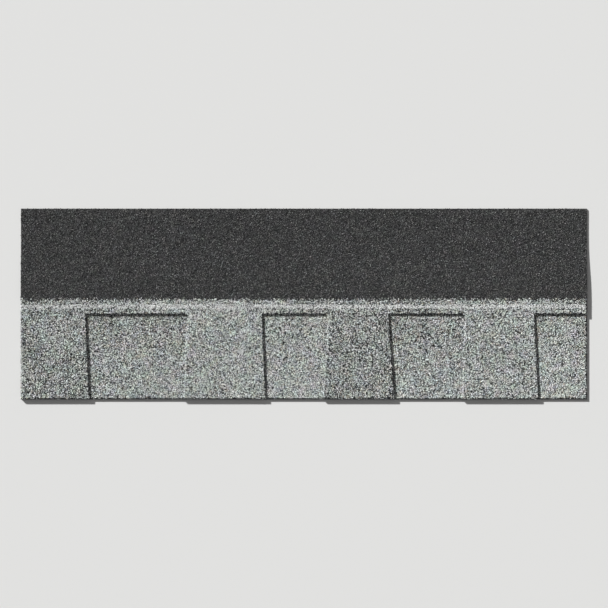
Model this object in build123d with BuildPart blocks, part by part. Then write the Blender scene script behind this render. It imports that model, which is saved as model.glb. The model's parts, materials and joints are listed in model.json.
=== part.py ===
from build123d import *

import os

# One laminated asphalt roofing shingle, as it lies unheld on a level floor. A granule-faced sheet
# with teeth cut into its lower half is glued over a plain shim strip, whose granules show in the
# windows between the teeth. X runs along the shingle, Y up the roof from the butt edge to the
# head edge, and Z out of the weather face. Past the shim the single sheet sags to the floor.
# All sizes are in millimetres.

# Plan of the shingle
shingle_length = 1000.0
shingle_height = 337.0
tooth_height = 150.0
common_bond = 28.0  # the double band above the windows, where the nails go

# Thickness of each layer
tooth_sheet_thickness = 2.5
shim_thickness = 2.3
adhesive_thickness = 0.4
seal_thickness = 0.8
film_thickness = 0.1

# The cut along the butt edge, from the left end: the width of a tooth, the width of the window
# after it, and how far that window's left and right edges lean outwards over the tooth's height.
# The last window runs off the sheet, where the web was cut to length.
cut_pattern = [
    (122.0, 164.0, 6.5, 9.5),
    (147.0, 100.0, 6.0, 9.5),
    (128.0, 118.0, 11.0, 5.0),
    (136.0, 100.0, 7.5, 6.0),
]
window_corner_radius = 3.0
cutter_overrun = 5.0

# Beads of laminating adhesive between the two layers
bead_width = 12.0
bead_count = 3
first_bead = 16.0
bead_pitch = 48.0
bead_setback = 4.0  # from every cut edge

# Dabs of heat-activated sealant on the back of the butt edge
dab_length = 70.0
dab_width = 12.0
dab_gap = 13.0
dab_setback = 9.0
dab_edge_radius = 0.3

# Release film on the back of the head edge
film_width = 30.0
film_setback = 8.0

# Levels above the floor, and the stretch over which the single sheet sags down to it
shim_height = tooth_height + common_bond
shim_level = seal_thickness
adhesive_level = shim_level + shim_thickness
lay_level = adhesive_level + adhesive_thickness
head_level = film_thickness
head_rest = film_width + 2 * film_setback
sag_run = shingle_height - shim_height - head_rest

# The origin is under the middle of the shingle, on the floor.
left_end = -shingle_length / 2
butt_edge = -shingle_height / 2


def plan(level):
    """A level plane whose x runs from the left end and whose y runs from the butt edge."""
    return Plane(origin=(left_end, butt_edge, level))


def draw_windows(margin, mode):
    """Draws the windows in the open sketch, each larger by margin, and past the butt edge."""
    tooth_start = 0.0
    low = -cutter_overrun
    high = tooth_height + margin
    for tooth, window, left_lean, right_lean in cut_pattern:
        left = tooth_start + tooth
        right = left + window
        left_slope = left_lean / tooth_height
        right_slope = right_lean / tooth_height
        Polygon(
            (left - margin - left_slope * low, low),
            (right + margin + right_slope * low, low),
            (right + margin + right_slope * high, high),
            (left - margin - left_slope * high, high),
            align=None,
            mode=mode,
        )
        tooth_start = right


# The tooth sheet: full height, laid on the shim and sagging past it, with the windows cut out
with BuildPart() as tooth_sheet:
    with BuildSketch(Plane(origin=(left_end, butt_edge, 0), x_dir=(0, 1, 0), z_dir=(1, 0, 0))):
        with BuildLine():
            laid = Line((0, lay_level), (shim_height, lay_level))
            mid_sag = (shim_height + sag_run / 2, (lay_level + head_level) / 2)
            over = TangentArc(laid @ 1, mid_sag, tangent=laid % 1)
            rest_start = (shim_height + sag_run, head_level)
            under = TangentArc(over @ 1, rest_start, tangent=over % 1)
            Line(under @ 1, (shingle_height, head_level))
            offset(amount=tooth_sheet_thickness, side=Side.LEFT)
        make_face()
    extrude(amount=shingle_length)
    with BuildSketch(plan(lay_level + tooth_sheet_thickness / 2)) as windows:
        draw_windows(0, Mode.ADD)
        fillet(windows.vertices().group_by(Axis.Y)[-1], window_corner_radius)
    extrude(amount=tooth_sheet_thickness, both=True, mode=Mode.SUBTRACT)

# The shim strip: a plain second sheet behind the teeth and the nailing band
with BuildPart() as shim_strip:
    with BuildSketch(plan(shim_level)):
        Rectangle(shingle_length, shim_height, align=(Align.MIN, Align.MIN))
    extrude(amount=shim_thickness)

# Laminating adhesive: beads under the teeth, and one unbroken bead in the nailing band
with BuildPart() as laminating_adhesive:
    with BuildSketch(plan(adhesive_level)):
        bead_length = shingle_length - 2 * bead_setback
        bead_rows = [first_bead + row * bead_pitch for row in range(bead_count)]
        bead_rows.append(tooth_height + common_bond / 2)
        with Locations(*[(shingle_length / 2, row) for row in bead_rows]):
            Rectangle(bead_length, bead_width)
        draw_windows(bead_setback, Mode.SUBTRACT)
    extrude(amount=adhesive_thickness)

# Self-seal adhesive: a row of dabs with softened lower edges
with BuildPart() as self_seal_adhesive:
    dab_pitch = dab_length + dab_gap
    dab_count = int((shingle_length - dab_gap) // dab_pitch)
    with BuildSketch(plan(0)):
        with Locations((shingle_length / 2, dab_setback + dab_width / 2)):
            with GridLocations(dab_pitch, dab_width, dab_count, 1):
                SlotOverall(dab_length, dab_width)
    extrude(amount=seal_thickness)
    fillet(self_seal_adhesive.edges().group_by(Axis.Z)[0], dab_edge_radius)

# Release film: a strip stuck to the back of the head edge
with BuildPart() as release_film:
    film_edge = shingle_height - film_setback
    with BuildSketch(plan(0)):
        with Locations((0, film_edge)):
            Rectangle(shingle_length, film_width, align=(Align.MIN, Align.MAX))
    extrude(amount=film_thickness)

pieces = {
    "tooth_sheet": tooth_sheet,
    "shim_strip": shim_strip,
    "laminating_adhesive": laminating_adhesive,
    "self_seal_adhesive": self_seal_adhesive,
    "release_film": release_film,
}
os.makedirs("parts", exist_ok=True)
for name, piece in pieces.items():
    piece.part.label = name
    export_step(piece.part, f"parts/{name}.step")
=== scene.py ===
import json
import math

import bpy
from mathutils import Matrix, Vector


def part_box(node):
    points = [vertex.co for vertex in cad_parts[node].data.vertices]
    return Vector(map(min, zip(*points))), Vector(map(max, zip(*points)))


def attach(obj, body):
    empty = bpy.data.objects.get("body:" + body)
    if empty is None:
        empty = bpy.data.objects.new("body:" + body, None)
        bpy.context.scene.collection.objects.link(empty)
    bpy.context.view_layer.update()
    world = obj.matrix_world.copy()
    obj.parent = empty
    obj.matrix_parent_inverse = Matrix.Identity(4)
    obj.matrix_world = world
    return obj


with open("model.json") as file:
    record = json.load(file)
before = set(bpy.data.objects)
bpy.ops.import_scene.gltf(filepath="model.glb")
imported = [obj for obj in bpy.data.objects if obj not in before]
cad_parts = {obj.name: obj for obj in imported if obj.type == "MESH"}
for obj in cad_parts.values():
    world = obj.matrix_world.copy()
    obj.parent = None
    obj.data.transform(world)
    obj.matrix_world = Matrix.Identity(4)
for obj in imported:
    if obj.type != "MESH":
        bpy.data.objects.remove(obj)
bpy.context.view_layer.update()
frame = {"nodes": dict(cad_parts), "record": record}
scene = bpy.context.scene


# The two sheets
# Each is a glass-fibre mat soaked and coated with filled asphalt. Crushed rock is rolled into the
# hot upper face, sand keeps the back from sticking, and the knife leaves the black asphalt bare
# along every cut edge.

class Wire:
    """One value in a node tree. Arithmetic on it adds Math nodes, and node() adds any other."""

    def __init__(self, tree, socket=None):
        self.tree = tree
        self.socket = socket

    def node(self, kind, settings=None, inputs=None, output=0):
        """Adds a node, its settings first and then its sockets, and returns one of its outputs."""
        made = self.tree.nodes.new(kind)
        for name, value in (settings or {}).items():
            if name == "stops":
                for stop, (place, colour) in zip(stops_for(made, len(value)), value):
                    stop.position = place
                    stop.color = colour
            elif name == "interpolation":
                made.color_ramp.interpolation = value
            else:
                setattr(made, name, value)
        for name, value in (inputs or {}).items():
            socket = live(made.inputs, name)
            for one in value if isinstance(value, list) else [value]:
                if isinstance(one, Wire):
                    self.tree.links.new(one.socket, socket)
                else:
                    socket.default_value = one
        return Wire(self.tree, live(made.outputs, output)) if made.outputs else None

    def maths(self, operation, *others):
        """This value and then the others through a Math node."""
        values = dict(enumerate([self, *others]))
        return self.node("ShaderNodeMath", {"operation": operation}, values)

    def vector(self, operation, *others):
        """The same through a Vector Math node."""
        values = dict(enumerate([self, *others]))
        return self.node("ShaderNodeVectorMath", {"operation": operation}, values)

    def axis(self, name):
        """X, Y or Z of a vector, or the same part of a random colour."""
        return self.node("ShaderNodeSeparateXYZ", inputs={"Vector": self}, output=name)

    def ramp(self, low, high):
        """Rises smoothly from 0 at low to 1 at high."""
        settings = {"interpolation_type": "SMOOTHSTEP"}
        inputs = {"Value": self, "From Min": low, "From Max": high}
        return self.node("ShaderNodeMapRange", settings, inputs)

    def mix(self, low, high):
        """A colour that goes from low to high as this value goes from 0 to 1."""
        inputs = {"Factor": self, "A": low, "B": high}
        return self.node("ShaderNodeMix", {"data_type": "RGBA"}, inputs)

    def pick(self, limits, colours):
        """The colour whose limit is the last one under this value."""
        stops = [(limit, opaque(colour)) for limit, colour in zip(limits, colours)]
        settings = {"interpolation": "CONSTANT", "stops": stops}
        return self.node("ShaderNodeValToRGB", settings, {"Fac": self}, "Color")

    def __add__(self, other):
        return self.maths("ADD", other)

    def __mul__(self, other):
        return self.maths("MULTIPLY", other)

    __radd__ = __add__
    __rmul__ = __mul__

    def __sub__(self, other):
        return self.maths("SUBTRACT", other)

    def __rsub__(self, other):
        return self.node("ShaderNodeMath", {"operation": "SUBTRACT"}, {0: other, 1: self})

    def __truediv__(self, other):
        return self.maths("DIVIDE", other)

    def __rtruediv__(self, other):
        return self.node("ShaderNodeMath", {"operation": "DIVIDE"}, {0: other, 1: self})

    def __gt__(self, other):
        return self.maths("GREATER_THAN", other)

    def __lt__(self, other):
        return self.maths("LESS_THAN", other)


def live(sockets, name):
    """The socket in use with that name, or at that place among those in use."""
    used = [socket for socket in sockets if socket.enabled]
    if isinstance(name, int):
        return used[name]
    return next(socket for socket in used if socket.name == name)


def stops_for(ramp_node, count):
    """That many stops on a colour ramp, which comes with two."""
    stops = ramp_node.color_ramp.elements
    while len(stops) < count:
        stops.new(1.0)
    return stops


def opaque(colour):
    """The colour as a socket takes it, with its alpha."""
    return (*colour, 1.0)


def new_material(name):
    """A material with one Principled shader: its node tree, as a Wire, and the shader's node."""
    material = bpy.data.materials.new(name)
    material.use_nodes = True
    tree = material.node_tree
    return material, Wire(tree), tree.nodes["Principled BSDF"]


def connect(shader, inputs):
    """Sets a shader's sockets, to a number or a colour or from a Wire."""
    for name, value in inputs.items():
        socket = shader.inputs[name]
        if isinstance(value, Wire):
            value.tree.links.new(value.socket, socket)
        else:
            socket.default_value = value


def bump(height, strength, depth):
    """A normal that follows a height, which is depth metres deep where it is 1."""
    inputs = {"Strength": strength, "Distance": depth, "Height": height}
    return height.node("ShaderNodeBump", None, inputs, "Normal")


def dress(node, material):
    """Gives one of the solids its material."""
    mesh = frame["nodes"][node].data
    mesh.materials.clear()
    mesh.materials.append(material)


# Where the colour drops fall, from the frame: the teeth change colour in the middle of a window,
# and the strip behind them in the middle of a tooth. A tone is how much lighter a drop is than
# the mean, as a shift of its grains' picks.
windows = [opening["box_m"] for opening in frame["record"]["physics"]["openings"]]
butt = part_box("shim_strip")[0].y
shim_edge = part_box("shim_strip")[1].y
shim_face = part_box("shim_strip")[1].z
between_faces = shim_face + 0.001
window_top = windows[0][1][1]
window_bottom = windows[0][0][1]
tooth_breaks = [(low[0] + high[0]) / 2 for low, high in windows]
window_breaks = [(left[1][0] + right[0][0]) / 2 for left, right in zip(windows, windows[1:])]
tooth_tones = [0.02, 0.14, -0.04, 0.09, 0.04]
window_tones = [0.08, 0.13, 0.05, 0.10]
shadow_band_tone = -0.04
window_foot_tone = 0.08
mottle_size = 0.045
mottle_tone = 0.22

# The blend, darkest first, and the limits between the greys among the picks, which run from 0 to 1
greys = [
    (0.040, 0.043, 0.040),
    (0.143, 0.152, 0.145),
    (0.285, 0.302, 0.288),
    (0.480, 0.508, 0.487),
    (0.725, 0.764, 0.735),
    (0.900, 0.940, 0.910),
]
pick_limits = [0.21, 0.29, 0.36, 0.46, 0.59]

# The few buff and blue grains among them: the share of each, which is larger in a window's shadow
# band or at its foot, and how far and over what length both drift
odd_colours = [(0.57, 0.52, 0.44), (0.38, 0.42, 0.46)]
buff_share = 0.05
buff_share_in_band = 0.09
blue_share = 0.05
blue_share_at_foot = 0.08
tint_size = 0.06
tint_drift = 3.0

# Above the ragged edge of the prime blend, under the next course, lie leftover dark granules
head_greys = [
    (0.033, 0.034, 0.034),
    (0.070, 0.070, 0.070),
    (0.130, 0.132, 0.130),
    (0.250, 0.250, 0.245),
]
head_limits = [0.30, 0.62, 0.88]
prime_edge = shim_edge - 0.002
ragged_edge = 0.0035
ragged_size = 0.006

# The painted line that shows where the nails go
nail_line = butt + 0.164
nail_line_width = 0.007
nail_line_wobble = 0.0012
line_paint = (0.84, 0.85, 0.84)


def steps(x, breaks, tones):
    """The tone of the drop that x falls in."""
    tone = x * 0 + tones[0]
    for place, before, after in zip(breaks, tones, tones[1:]):
        tone = tone + (x > place) * (after - before)
    return tone


def on_shim(place):
    """1 on the shim strip's face, and 0 on the tooth sheet."""
    return (place.axis("Z") < between_faces) * (place.axis("Y") < shim_edge)


def down_window(place):
    """From 0 at the top of a window, where the shadow band is laid, to 1 at its foot."""
    return 1 - place.axis("Y").ramp(window_bottom, window_top)


def noise(place, size):
    """Soft noise about 0, whose patches are about that size."""
    inputs = {"Vector": place, "Scale": 1 / size, "Detail": 1.0}
    return place.node("ShaderNodeTexNoise", None, inputs) - 0.5


def cells(place, size, output="Color"):
    """Cells about that size: a random colour for each, or the distance from its middle."""
    return place.node("ShaderNodeTexVoronoi", None, {"Vector": place, "Scale": 1 / size}, output)


def drift(place):
    """1 on average, and more where the blend ran to buff and less where it ran to blue."""
    return 1 + noise(place, tint_size) * tint_drift


def painted(place):
    """1 on the painted nail line, and 0 elsewhere."""
    off = place.axis("Y") - nail_line + noise(place, mottle_size) * nail_line_wobble
    return off.maths("ABSOLUTE") < nail_line_width / 2


def tone_at(place):
    """How much lighter than the mean blend the granules are there, as a shift of their pick."""
    x = place.axis("X")
    fall = down_window(place) * (window_foot_tone - shadow_band_tone) + shadow_band_tone
    strip = steps(x, window_breaks, window_tones) + fall
    teeth = steps(x, tooth_breaks, tooth_tones)
    shim = on_shim(place)
    return shim * strip + (1 - shim) * teeth + noise(place, mottle_size) * mottle_tone


# The asphalt between the granules, with fines of the same blend half drowned in it. A face whose
# normal has more than level_face of its length upwards carries them.
fines_size = 0.00105
fines_share = 0.15
fines_reach = (0.35, 0.62)
fines_height = 0.0003
asphalt = (0.018, 0.018, 0.019)
asphalt_roughness = 0.75
grit_roughness = 1.0
grit_strength = 0.8
sheet_gloss = 0.15
level_face = 0.5

# The sanded back, and the cut edges: streaks drawn out by the knife, and broken grains
sand_size = 0.0007
sand_share = 0.45
thinnest_sand = 0.4
back_sand = (0.16, 0.155, 0.145)
streak_colour = (0.075, 0.073, 0.070)
streak_length = 0.005
streak_height = 0.0004
streak_limits = (0.5, 0.75)
broken_grain = (0.20, 0.20, 0.19)
broken_grain_size = 0.0006
broken_grain_share = 0.14


def grit(place):
    """Sand on the back: how much of it lies there."""
    grains = cells(place, sand_size)
    cover = thinnest_sand + (1 - thinnest_sand) * grains.axis("Z")
    return (grains.axis("Y") > 1 - sand_share) * cover


def cut_edge(place):
    """The colour of a cut edge."""
    drawn = place.vector("DIVIDE", (streak_length, streak_length, streak_height))
    streaks = place.node("ShaderNodeTexNoise", None, {"Vector": drawn, "Scale": 1.0, "Detail": 2.0})
    core = streaks.ramp(*streak_limits).mix(opaque(asphalt), opaque(streak_colour))
    broken = cells(place, broken_grain_size).axis("X") < broken_grain_share
    return broken.mix(core, opaque(broken_grain))


def sheet_material():
    """Granule fines above, sand below and bare asphalt on the cut edges."""
    material, start, shader = new_material("granule_faced_asphalt")
    place = start.node("ShaderNodeTexCoord", output="Object")
    facing = start.node("ShaderNodeNewGeometry", output="Normal").axis("Z")
    up = facing > level_face
    down = facing < -level_face

    fines = cells(place, fines_size)
    headlap = (place.axis("Y") + noise(place, ragged_size) * ragged_edge) > prime_edge
    prime = (fines.axis("X") + tone_at(place)).pick([0.0] + pick_limits, greys)
    dull = fines.axis("X").pick([0.0] + head_limits, head_greys)
    fired = painted(place).mix(headlap.mix(prime, dull), opaque(line_paint))
    drowned = (fines.axis("Y") > fines_share) * (1 - headlap)
    sunk = cells(place, fines_size, "Distance").ramp(*fines_reach).maths("MAXIMUM", drowned)

    sand = grit(place)
    face = sunk.mix(fired, opaque(asphalt))
    back = sand.mix(opaque(asphalt), opaque(back_sand))
    height = up * (1 - sunk) + down * sand
    connect(shader, {
        "Base Color": down.mix(up.mix(cut_edge(place), face), back),
        "Roughness": asphalt_roughness + (grit_roughness - asphalt_roughness) * height,
        "Specular IOR Level": sheet_gloss,
        "Normal": bump(height, grit_strength, fines_height),
    })
    return material


granule_faced = sheet_material()
dress("shim_strip", granule_faced)
dress("tooth_sheet", granule_faced)


# The granules
# Crushed rock, graded to about two millimetres and coloured by a fired coating. It is dropped on
# the hot asphalt in blends and rolled in, so the grains lie close together, half sunk and turned
# every way. The knife knocks them off the edges that it leaves; along the right and lower edges,
# away from the key light, the bare strip is widened as painted shade. A rim of paler grains along
# the teeth's left edges is a painted highlight, and the nail line is painted on.

# The least distance between grains, the most of them on a square metre, and how far the smallest
# and the largest reach from their middles
grain_spacing = 0.00086
grain_crowd = 1.1e6
smallest_grain = 0.0007
largest_grain = 0.0013

# One chip: how far its corners are knocked, as a share of the smallest grain, how far its middle
# is off the face, as a share of its own size, and the wedge's narrow end and depth
grain_jag = 0.4
proud_share = (-0.3, 0.2)
wedge_taper = 0.6
wedge_depth = 1.3

# The least and most margin along the right and lower cut edges, the sides away from the key light,
# that is left without grains: partly the bare edge the knife leaves, partly painted shade that
# widens the shadow lines there
bare_margin_and_painted_shade = (0.0013, 0.0031)
# Along the teeth's left edges, toward the key light, a rim of paler grains: a painted highlight
painted_highlight_width = 0.0028
painted_highlight_tone = 0.45

# The share of the places in the headlap that hold a grain, how well the paint covers one, and the
# share of the grains that it has worn off
head_share = 0.55
paint_cover = 0.85
paint_wear = 0.06

# How much of its brightness a fired colour may lose, how much its tint drifts and over what
# length, and the finish of the coating
shade_range = 0.25
kiln_size = 0.014
kiln_tint = 0.20
grain_roughness = (0.8, 1.0)
grain_gloss = 0.2

# The edge round each grain's square of the colour map, as a share of the square
cell_inset = 0.2

# A small lift over the faces, how far down a ray finds the face again, and how far up it finds
# the other sheet
lift = 0.0003
face_reach = 0.001
cover_reach = 0.02

# The seed of each random draw
seeds = {
    "points": 7,
    "ragged": 11,
    "pick": 12,
    "odd": 13,
    "dull": 14,
    "bare head": 15,
    "shade": 16,
    "worn": 17,
    "turn": 18,
    "size": 19,
    "chip": 20,
    "knock": 21,
    "margin": 22,
    "proud": 23,
}


def chance(start, draw, low=0.0, high=1.0, kind="FLOAT"):
    """A random value for each grain."""
    inputs = {"Min": low, "Max": high, "Seed": seeds[draw]}
    return start.node("FunctionNodeRandomValue", {"data_type": kind}, inputs)


def without(geometry, chosen, domain="POINT"):
    """The geometry with the chosen points or faces taken out."""
    inputs = {"Geometry": geometry, "Selection": chosen}
    return geometry.node("GeometryNodeDeleteGeometry", {"domain": domain}, inputs)


def store(geometry, name, value, kind="FLOAT", domain="POINT"):
    """The geometry with a named attribute written on it."""
    settings = {"data_type": kind, "domain": domain}
    inputs = {"Geometry": geometry, "Name": name, "Value": value}
    return geometry.node("GeometryNodeStoreNamedAttribute", settings, inputs)


def ray_hits(faces, source, direction, length):
    """1 where a ray from the source meets a face within that length."""
    inputs = {"Target Geometry": faces, "Source Position": source,
              "Ray Direction": direction, "Ray Length": length}
    return faces.node("GeometryNodeRaycast", None, inputs, "Is Hit")


def past_edge(faces, place, aside):
    """1 where the sheet ends within that step aside."""
    spot = place.vector("ADD", (0.0, 0.0, lift)).vector("ADD", aside)
    return 1 - ray_hits(faces, spot, (0.0, 0.0, -1.0), face_reach)


def grain_points(asked, faces, place, row):
    """Points spread evenly over the asked stretch of the faces, where they lie open."""
    spread = {"Mesh": faces, "Distance Min": asked["Spacing"],
              "Density Max": asked["Crowd"], "Seed": seeds["points"]}
    points = place.node("GeometryNodeDistributePointsOnFaces", {"distribute_method": "POISSON"},
                        spread)
    x = place.axis("X")
    points = without(points, (x < asked["From X"]) + (x > asked["To X"]) > 0)
    points = without(points, (row < asked["From Y"]) + (row > asked["To Y"]) > 0)
    points = without(points, on_shim(place).maths("COMPARE", asked["Shim"], 0.5) < 1)
    lifted = place.vector("ADD", (0.0, 0.0, lift))
    points = without(points, ray_hits(faces, lifted, (0.0, 0.0, 1.0), cover_reach))

    # The margin along the right and lower cut edges, left bare partly as painted shade
    margin = chance(place, "margin", asked["Least Margin"], asked["Most Margin"])
    aside = place.node("ShaderNodeCombineXYZ", None, {"X": margin, "Y": margin * -1})
    return without(points, past_edge(faces, place, aside))


def grain_colours(points, place, row, rim):
    """Each grain's colour, by its number in the blend, its shade and whether it is painted."""
    # Grains on the rim of the teeth's lit left edges are picked paler: a painted highlight
    pick = chance(place, "pick") + tone_at(place) + rim * painted_highlight_tone
    number = pick * 0
    for limit in pick_limits:
        number = number + (pick > limit)
    shim = on_shim(place)
    foot = down_window(place)
    odd = chance(place, "odd")
    buffs = buff_share + shim * (1 - foot) * (buff_share_in_band - buff_share)
    blues = blue_share + shim * foot * (blue_share_at_foot - blue_share)
    buff = odd < buffs * drift(place)
    blue = odd > 1 - blues * (2 - drift(place))
    number = number * (1 - buff) + buff * len(greys)
    number = number * (1 - blue) + blue * (len(greys) + 1)

    head = row > prime_edge
    dull = pick * 0 + len(greys) + len(odd_colours)
    for limit in head_limits:
        dull = dull + (chance(place, "dull") > limit)
    number = number * (1 - head) + dull * head
    points = without(points, head * (chance(place, "bare head") > head_share))
    points = store(points, "blend", number)
    points = store(points, "shade", chance(place, "shade"))
    return store(points, "paint", painted(place) * (chance(place, "worn") > paint_wear))


def broken_chips(points, asked):
    """Two simple chips, one on each point, pressed in to different depths, turned every way
    and then broken out of shape."""
    start = points
    diamond = start.node("GeometryNodeMeshUVSphere", None,
                         {"Segments": 4, "Rings": 2, "Radius": 1.0})
    wedge = start.node("GeometryNodeMeshCone", None,
                       {"Vertices": 3, "Radius Top": wedge_taper, "Radius Bottom": 1.0,
                        "Depth": wedge_depth})
    wedge = start.node("GeometryNodeTransform", None,
                       {"Geometry": wedge, "Translation": (0.0, 0.0, -wedge_depth / 2)})
    kit = start.node("GeometryNodeGeometryToInstance", None, {"Geometry": [diamond, wedge]})
    size = chance(start, "size", asked["Smallest"], asked["Largest"])
    proud = start.node("ShaderNodeCombineXYZ", None,
                       {"Z": chance(start, "proud", *proud_share) * size})
    points = start.node("GeometryNodeSetPosition", None, {"Geometry": points, "Offset": proud})
    turned = chance(start, "turn", (0.0, 0.0, 0.0), (math.tau, math.tau, math.tau), "FLOAT_VECTOR")
    chips = start.node("GeometryNodeInstanceOnPoints", None,
                       {"Points": points, "Instance": kit, "Pick Instance": True,
                        "Instance Index": chance(start, "chip", 0, 1, "INT"), "Rotation": turned,
                        "Scale": size})
    whole = start.node("GeometryNodeRealizeInstances", None, {"Geometry": chips})
    knock = chance(start, "knock", (-1.0, -1.0, -1.0), (1.0, 1.0, 1.0), "FLOAT_VECTOR")
    knock = knock.vector("SCALE", asked["Smallest"] * grain_jag)
    return start.node("GeometryNodeSetPosition", None, {"Geometry": whole, "Offset": knock})


def colour_map(whole, points):
    """A map with a square for each grain, because a grain has one colour all over."""
    count = whole.node("GeometryNodeAttributeDomainSize", {"component": "POINTCLOUD"},
                       {"Geometry": points}, "Point Count")
    grain = whole.node("GeometryNodeInputNamedAttribute", {"data_type": "INT"}, {"Name": "grain"},
                       "Attribute")
    corner = whole.node("GeometryNodeFaceOfCorner", output="Index in Face")
    across = count.maths("SQRT").maths("CEIL")
    row = ((grain + 0.5) / across).maths("FLOOR")
    column = grain - row * across
    side = 1 - 2 * cell_inset

    # A face's corners, 0 to 3, go round the square
    u = column + cell_inset + (corner > 0.5) * side - (corner > 2.5) * side
    v = row + cell_inset + (corner > 1.5) * side
    spot = whole.node("ShaderNodeCombineXYZ", None, {"X": u / across, "Y": v / across})
    return store(whole, "OFBake", spot, "FLOAT2", "CORNER")


def grain_bed():
    """A node tree that covers part of a mesh's upward faces with grains."""
    tree = bpy.data.node_groups.new("grain_bed", "GeometryNodeTree")
    tree.is_modifier = True
    sockets = {
        "Geometry": "NodeSocketGeometry",
        "Shim": "NodeSocketFloat",
        "From X": "NodeSocketFloat",
        "To X": "NodeSocketFloat",
        "From Y": "NodeSocketFloat",
        "To Y": "NodeSocketFloat",
        "Spacing": "NodeSocketFloat",
        "Crowd": "NodeSocketFloat",
        "Smallest": "NodeSocketFloat",
        "Largest": "NodeSocketFloat",
        "Least Margin": "NodeSocketFloat",
        "Most Margin": "NodeSocketFloat",
        "Material": "NodeSocketMaterial",
    }
    for name, kind in sockets.items():
        tree.interface.new_socket(name=name, in_out="INPUT", socket_type=kind)
    tree.interface.new_socket(name="Geometry", in_out="OUTPUT", socket_type="NodeSocketGeometry")
    given = tree.nodes.new("NodeGroupInput")
    asked = {name: Wire(tree, given.outputs[name]) for name in sockets}

    start = Wire(tree)
    place = start.node("GeometryNodeInputPosition")
    row = place.axis("Y") + chance(start, "ragged", -ragged_edge, ragged_edge)
    normal = start.node("GeometryNodeInputNormal")
    faces = without(asked["Geometry"], normal.axis("Z") < level_face, "FACE")
    # The rim along the teeth's left edges, whose grains get a painted highlight
    rim = past_edge(faces, place, (-painted_highlight_width, 0.0, 0.0)) * (1 - on_shim(place))
    points = grain_points(asked, faces, place, row)
    points = grain_colours(points, place, row, rim)
    points = store(points, "grain", start.node("GeometryNodeInputIndex"), "INT")
    whole = colour_map(broken_chips(points, asked), points)
    done = start.node("GeometryNodeSetMaterial", None,
                      {"Geometry": whole, "Material": asked["Material"]})
    start.node("NodeGroupOutput", None, {"Geometry": done})
    return tree


def kiln_drift(place):
    """What each of red, green and blue is multiplied by, as the fired colours run a little."""
    inputs = {"Vector": place, "Scale": 1 / kiln_size, "Detail": 1.0}
    cloud = place.node("ShaderNodeTexNoise", None, inputs, "Color")
    least = 1 - kiln_tint / 2
    return cloud.vector("MULTIPLY_ADD", (kiln_tint,) * 3, (least,) * 3)


def grain_material():
    """Fired ceramic colours, one for each grain, under worn paint where the nail line crosses."""
    material, start, shader = new_material("granules")
    place = start.node("ShaderNodeTexCoord", output="Object")
    blend, shade, paint = [
        start.node("ShaderNodeAttribute", {"attribute_name": name}, output="Fac")
        for name in ("blend", "shade", "paint")
    ]
    colours = greys + odd_colours + head_greys
    limits = [number / len(colours) for number in range(len(colours))]
    fired = ((blend + 0.5) / len(colours)).pick(limits, colours)
    fired = fired.vector("SCALE", 1 - shade_range + shade * shade_range)
    fired = fired.vector("MULTIPLY", kiln_drift(place))
    least, most = grain_roughness
    connect(shader, {
        "Base Color": (paint * paint_cover).mix(fired, opaque(line_paint)),
        "Roughness": least + shade * (most - least),
        "Specular IOR Level": grain_gloss,
    })
    return material


# Both sheets' faces in one mesh, so that the points under the tooth sheet can be told
faces = bpy.data.meshes.new("granule_faces")
host = bpy.data.objects.new("granule_faces", faces)
scene.collection.objects.link(host)
corners, loops = [], []
for name in ("shim_strip", "tooth_sheet"):
    mesh = frame["nodes"][name].data
    offset = len(corners)
    corners += [vertex.co[:] for vertex in mesh.vertices]
    loops += [[offset + corner for corner in polygon.vertices] for polygon in mesh.polygons]
faces.from_pydata(corners, [], loops)

bed = grain_bed()
bed_inputs = {item.name: item.identifier for item in bed.interface.items_tree
              if item.in_out == "INPUT"}
granules = grain_material()


def lay_grains(name, sheet, x_range, y_range):
    """The grains on one stretch of one sheet, as a plain mesh."""
    modifier = host.modifiers.new("bed", "NODES")
    modifier.node_group = bed
    settings = {
        "Shim": float(sheet == "shim_strip"),
        "From X": x_range[0],
        "To X": x_range[1],
        "From Y": y_range[0],
        "To Y": y_range[1],
        "Spacing": grain_spacing,
        "Crowd": grain_crowd,
        "Smallest": smallest_grain,
        "Largest": largest_grain,
        "Least Margin": bare_margin_and_painted_shade[0],
        "Most Margin": bare_margin_and_painted_shade[1],
        "Material": granules,
    }
    for socket, value in settings.items():
        modifier[bed_inputs[socket]] = value
    bpy.context.view_layer.update()
    depsgraph = bpy.context.evaluated_depsgraph_get()
    mesh = bpy.data.meshes.new_from_object(host.evaluated_get(depsgraph))
    mesh.name = name
    host.modifiers.clear()
    piece = bpy.data.objects.new(name, mesh)
    scene.collection.objects.link(piece)
    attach(piece, "root")


# The limits of each stretch, in metres. Those of 1 are past the shingle on every side.
anywhere = (-1.0, 1.0)
left_windows, right_windows = (-1.0, window_breaks[1]), (window_breaks[1], 1.0)
left_teeth, right_teeth = (-1.0, tooth_breaks[1]), (tooth_breaks[1], 1.0)
left_half, right_half = (-1.0, 0.0), (0.0, 1.0)
below, band, above = (-1.0, window_top), (window_top, prime_edge), (prime_edge, 1.0)
lay_grains("granules_windows_left", "shim_strip", left_windows, anywhere)
lay_grains("granules_windows_right", "shim_strip", right_windows, anywhere)
lay_grains("granules_teeth_left", "tooth_sheet", left_teeth, below)
lay_grains("granules_teeth_right", "tooth_sheet", right_teeth, below)
lay_grains("granules_band", "tooth_sheet", anywhere, band)
lay_grains("granules_headlap_left", "tooth_sheet", left_half, above)
lay_grains("granules_headlap_right", "tooth_sheet", right_half, above)
bpy.data.objects.remove(host)


# The laminating adhesive
# Beads of hot soft asphalt, run on the shim strip's face just before the tooth sheet is pressed
# down on it. Only their black ends can be looked at, from the side.

soft_asphalt = (0.010, 0.010, 0.011)
dusty_asphalt = (0.045, 0.043, 0.040)
asphalt_gloss = 0.5
dimple_size = 0.004
dimple_depth = 0.0004
dimple_smoothness = 0.6
dimple_strength = 0.6

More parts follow.
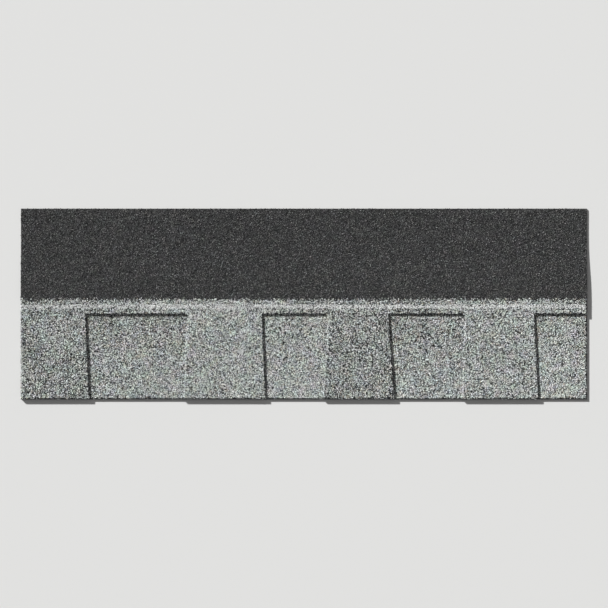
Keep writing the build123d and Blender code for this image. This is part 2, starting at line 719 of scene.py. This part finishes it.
# The smears that the tool leaves: their size, their height against a dimple's, and how much
# rougher they and the dust make the asphalt
smear_size = 0.018
smear_height = 0.6
smear_roughness = 0.25
dust_roughness = 0.4


def asphalt_material(name, dusty_share, roughness):
    """Soft asphalt: black, glossy and dimpled, with a little sand dust caught on it."""
    material, start, shader = new_material(name)
    place = start.node("ShaderNodeTexCoord", output="Object")
    dimples = start.node("ShaderNodeTexVoronoi", {"feature": "SMOOTH_F1"},
                         {"Vector": place, "Scale": 1 / dimple_size,
                          "Smoothness": dimple_smoothness}, "Distance")
    smear = noise(place, smear_size) + 0.5
    dust = (cells(place, sand_size).axis("X") > 1 - dusty_share) * smear
    connect(shader, {
        "Base Color": dust.mix(opaque(soft_asphalt), opaque(dusty_asphalt)),
        "Roughness": roughness + smear * smear_roughness + dust * dust_roughness,
        "Specular IOR Level": asphalt_gloss,
        "Normal": bump(dimples + smear * smear_height, dimple_strength, dimple_depth),
    })
    return material


laminating_asphalt = asphalt_material("laminating_asphalt", dusty_share=0.10, roughness=0.20)
dress("laminating_adhesive", laminating_asphalt)


# The sealant
# Dabs of a softer asphalt on the back of the butt edge, run on in a broken row. The sun's heat
# sticks them to the course below, and until then they are dusted so that the pack comes apart.

sealant_asphalt = asphalt_material("sealant_asphalt", dusty_share=0.28, roughness=0.12)
dress("self_seal_adhesive", sealant_asphalt)


# The release film
# A thin clear polyester strip on the back of the head edge, which faces the sealant of the next
# shingle in the pack. It is laid on the hot back from a roll, and picks up fine wrinkles across.

film_milk = (0.55, 0.55, 0.53)
milkiness = 0.24
wrinkled_milkiness = 0.54
wrinkle_length = 0.024
wrinkle_width = 0.0025
wrinkle_depth = 0.0003
wrinkle_limits = (0.4, 0.75)
wrinkle_strength = 0.5
film_roughness = 0.08
wrinkled_roughness = 0.20
film_gloss = 0.6


def film_material():
    """The sanded back shows through, milkier where a wrinkle stands off it."""
    material, start, shader = new_material("release_film")
    place = start.node("ShaderNodeTexCoord", output="Object")
    drawn = place.vector("DIVIDE", (wrinkle_width, wrinkle_length, 1.0))
    folds = {"Vector": drawn, "Scale": 1.0, "Detail": 2.0}
    wrinkles = start.node("ShaderNodeTexNoise", None, folds).ramp(*wrinkle_limits)
    back = grit(place).mix(opaque(asphalt), opaque(back_sand))
    milk = milkiness + wrinkles * (wrinkled_milkiness - milkiness)
    connect(shader, {
        "Base Color": milk.mix(back, opaque(film_milk)),
        "Roughness": film_roughness + wrinkles * (wrinkled_roughness - film_roughness),
        "Specular IOR Level": film_gloss,
        "Normal": bump(wrinkles, wrinkle_strength, wrinkle_depth),
    })
    return material


dress("release_film", film_material())


# The studio
# A pale floor, a low key light from the upper left, as the sun falls in the photograph, and an
# even fill. The camera sees a pale wall all round in place of the fill.

floor_size = 60.0
floor_paint = (0.74, 0.74, 0.73)
floor_roughness = 0.9
bpy.ops.mesh.primitive_plane_add(size=floor_size)
floor = bpy.context.object
floor.name = "floor"
paint, start, shader = new_material("floor_paint")
connect(shader, {"Base Color": opaque(floor_paint), "Roughness": floor_roughness})
floor.data.materials.append(paint)

key_elevation = math.radians(25.0)
key_bearing = math.radians(135.0)
key_spread = math.radians(3.0)
key_level = 0.80
key = bpy.data.lights.new("key", "SUN")
key.angle = key_spread
key.energy = key_level * math.pi / math.sin(key_elevation)
key_light = bpy.data.objects.new("key", key)
key_light.rotation_euler = (math.pi / 2 - key_elevation, 0.0, key_bearing + math.pi / 2)
scene.collection.objects.link(key_light)

fill_level = 0.20
wall_level = 0.80
world = bpy.data.worlds.new("fill")
world.use_nodes = True
sky = world.node_tree.nodes["Background"]
rays = Wire(world.node_tree)
seen = rays.node("ShaderNodeLightPath", output="Is Camera Ray")
for kind in ("Is Glossy Ray", "Is Transmission Ray"):
    seen = seen.maths("MAXIMUM", rays.node("ShaderNodeLightPath", output=kind))
level = fill_level + seen * (wall_level - fill_level)
world.node_tree.links.new(level.socket, sky.inputs["Strength"])
sky.inputs["Color"].default_value = (1.0, 1.0, 1.0, 1.0)
scene.world = world

view_width = 1.075
camera_height = 3.2
lens = bpy.data.cameras.new("camera")
lens.lens = lens.sensor_width * camera_height / view_width
camera = bpy.data.objects.new("camera", lens)
camera.location = (0.0, 0.0, camera_height)
scene.collection.objects.link(camera)
scene.camera = camera
scene.view_settings.view_transform = "Standard"
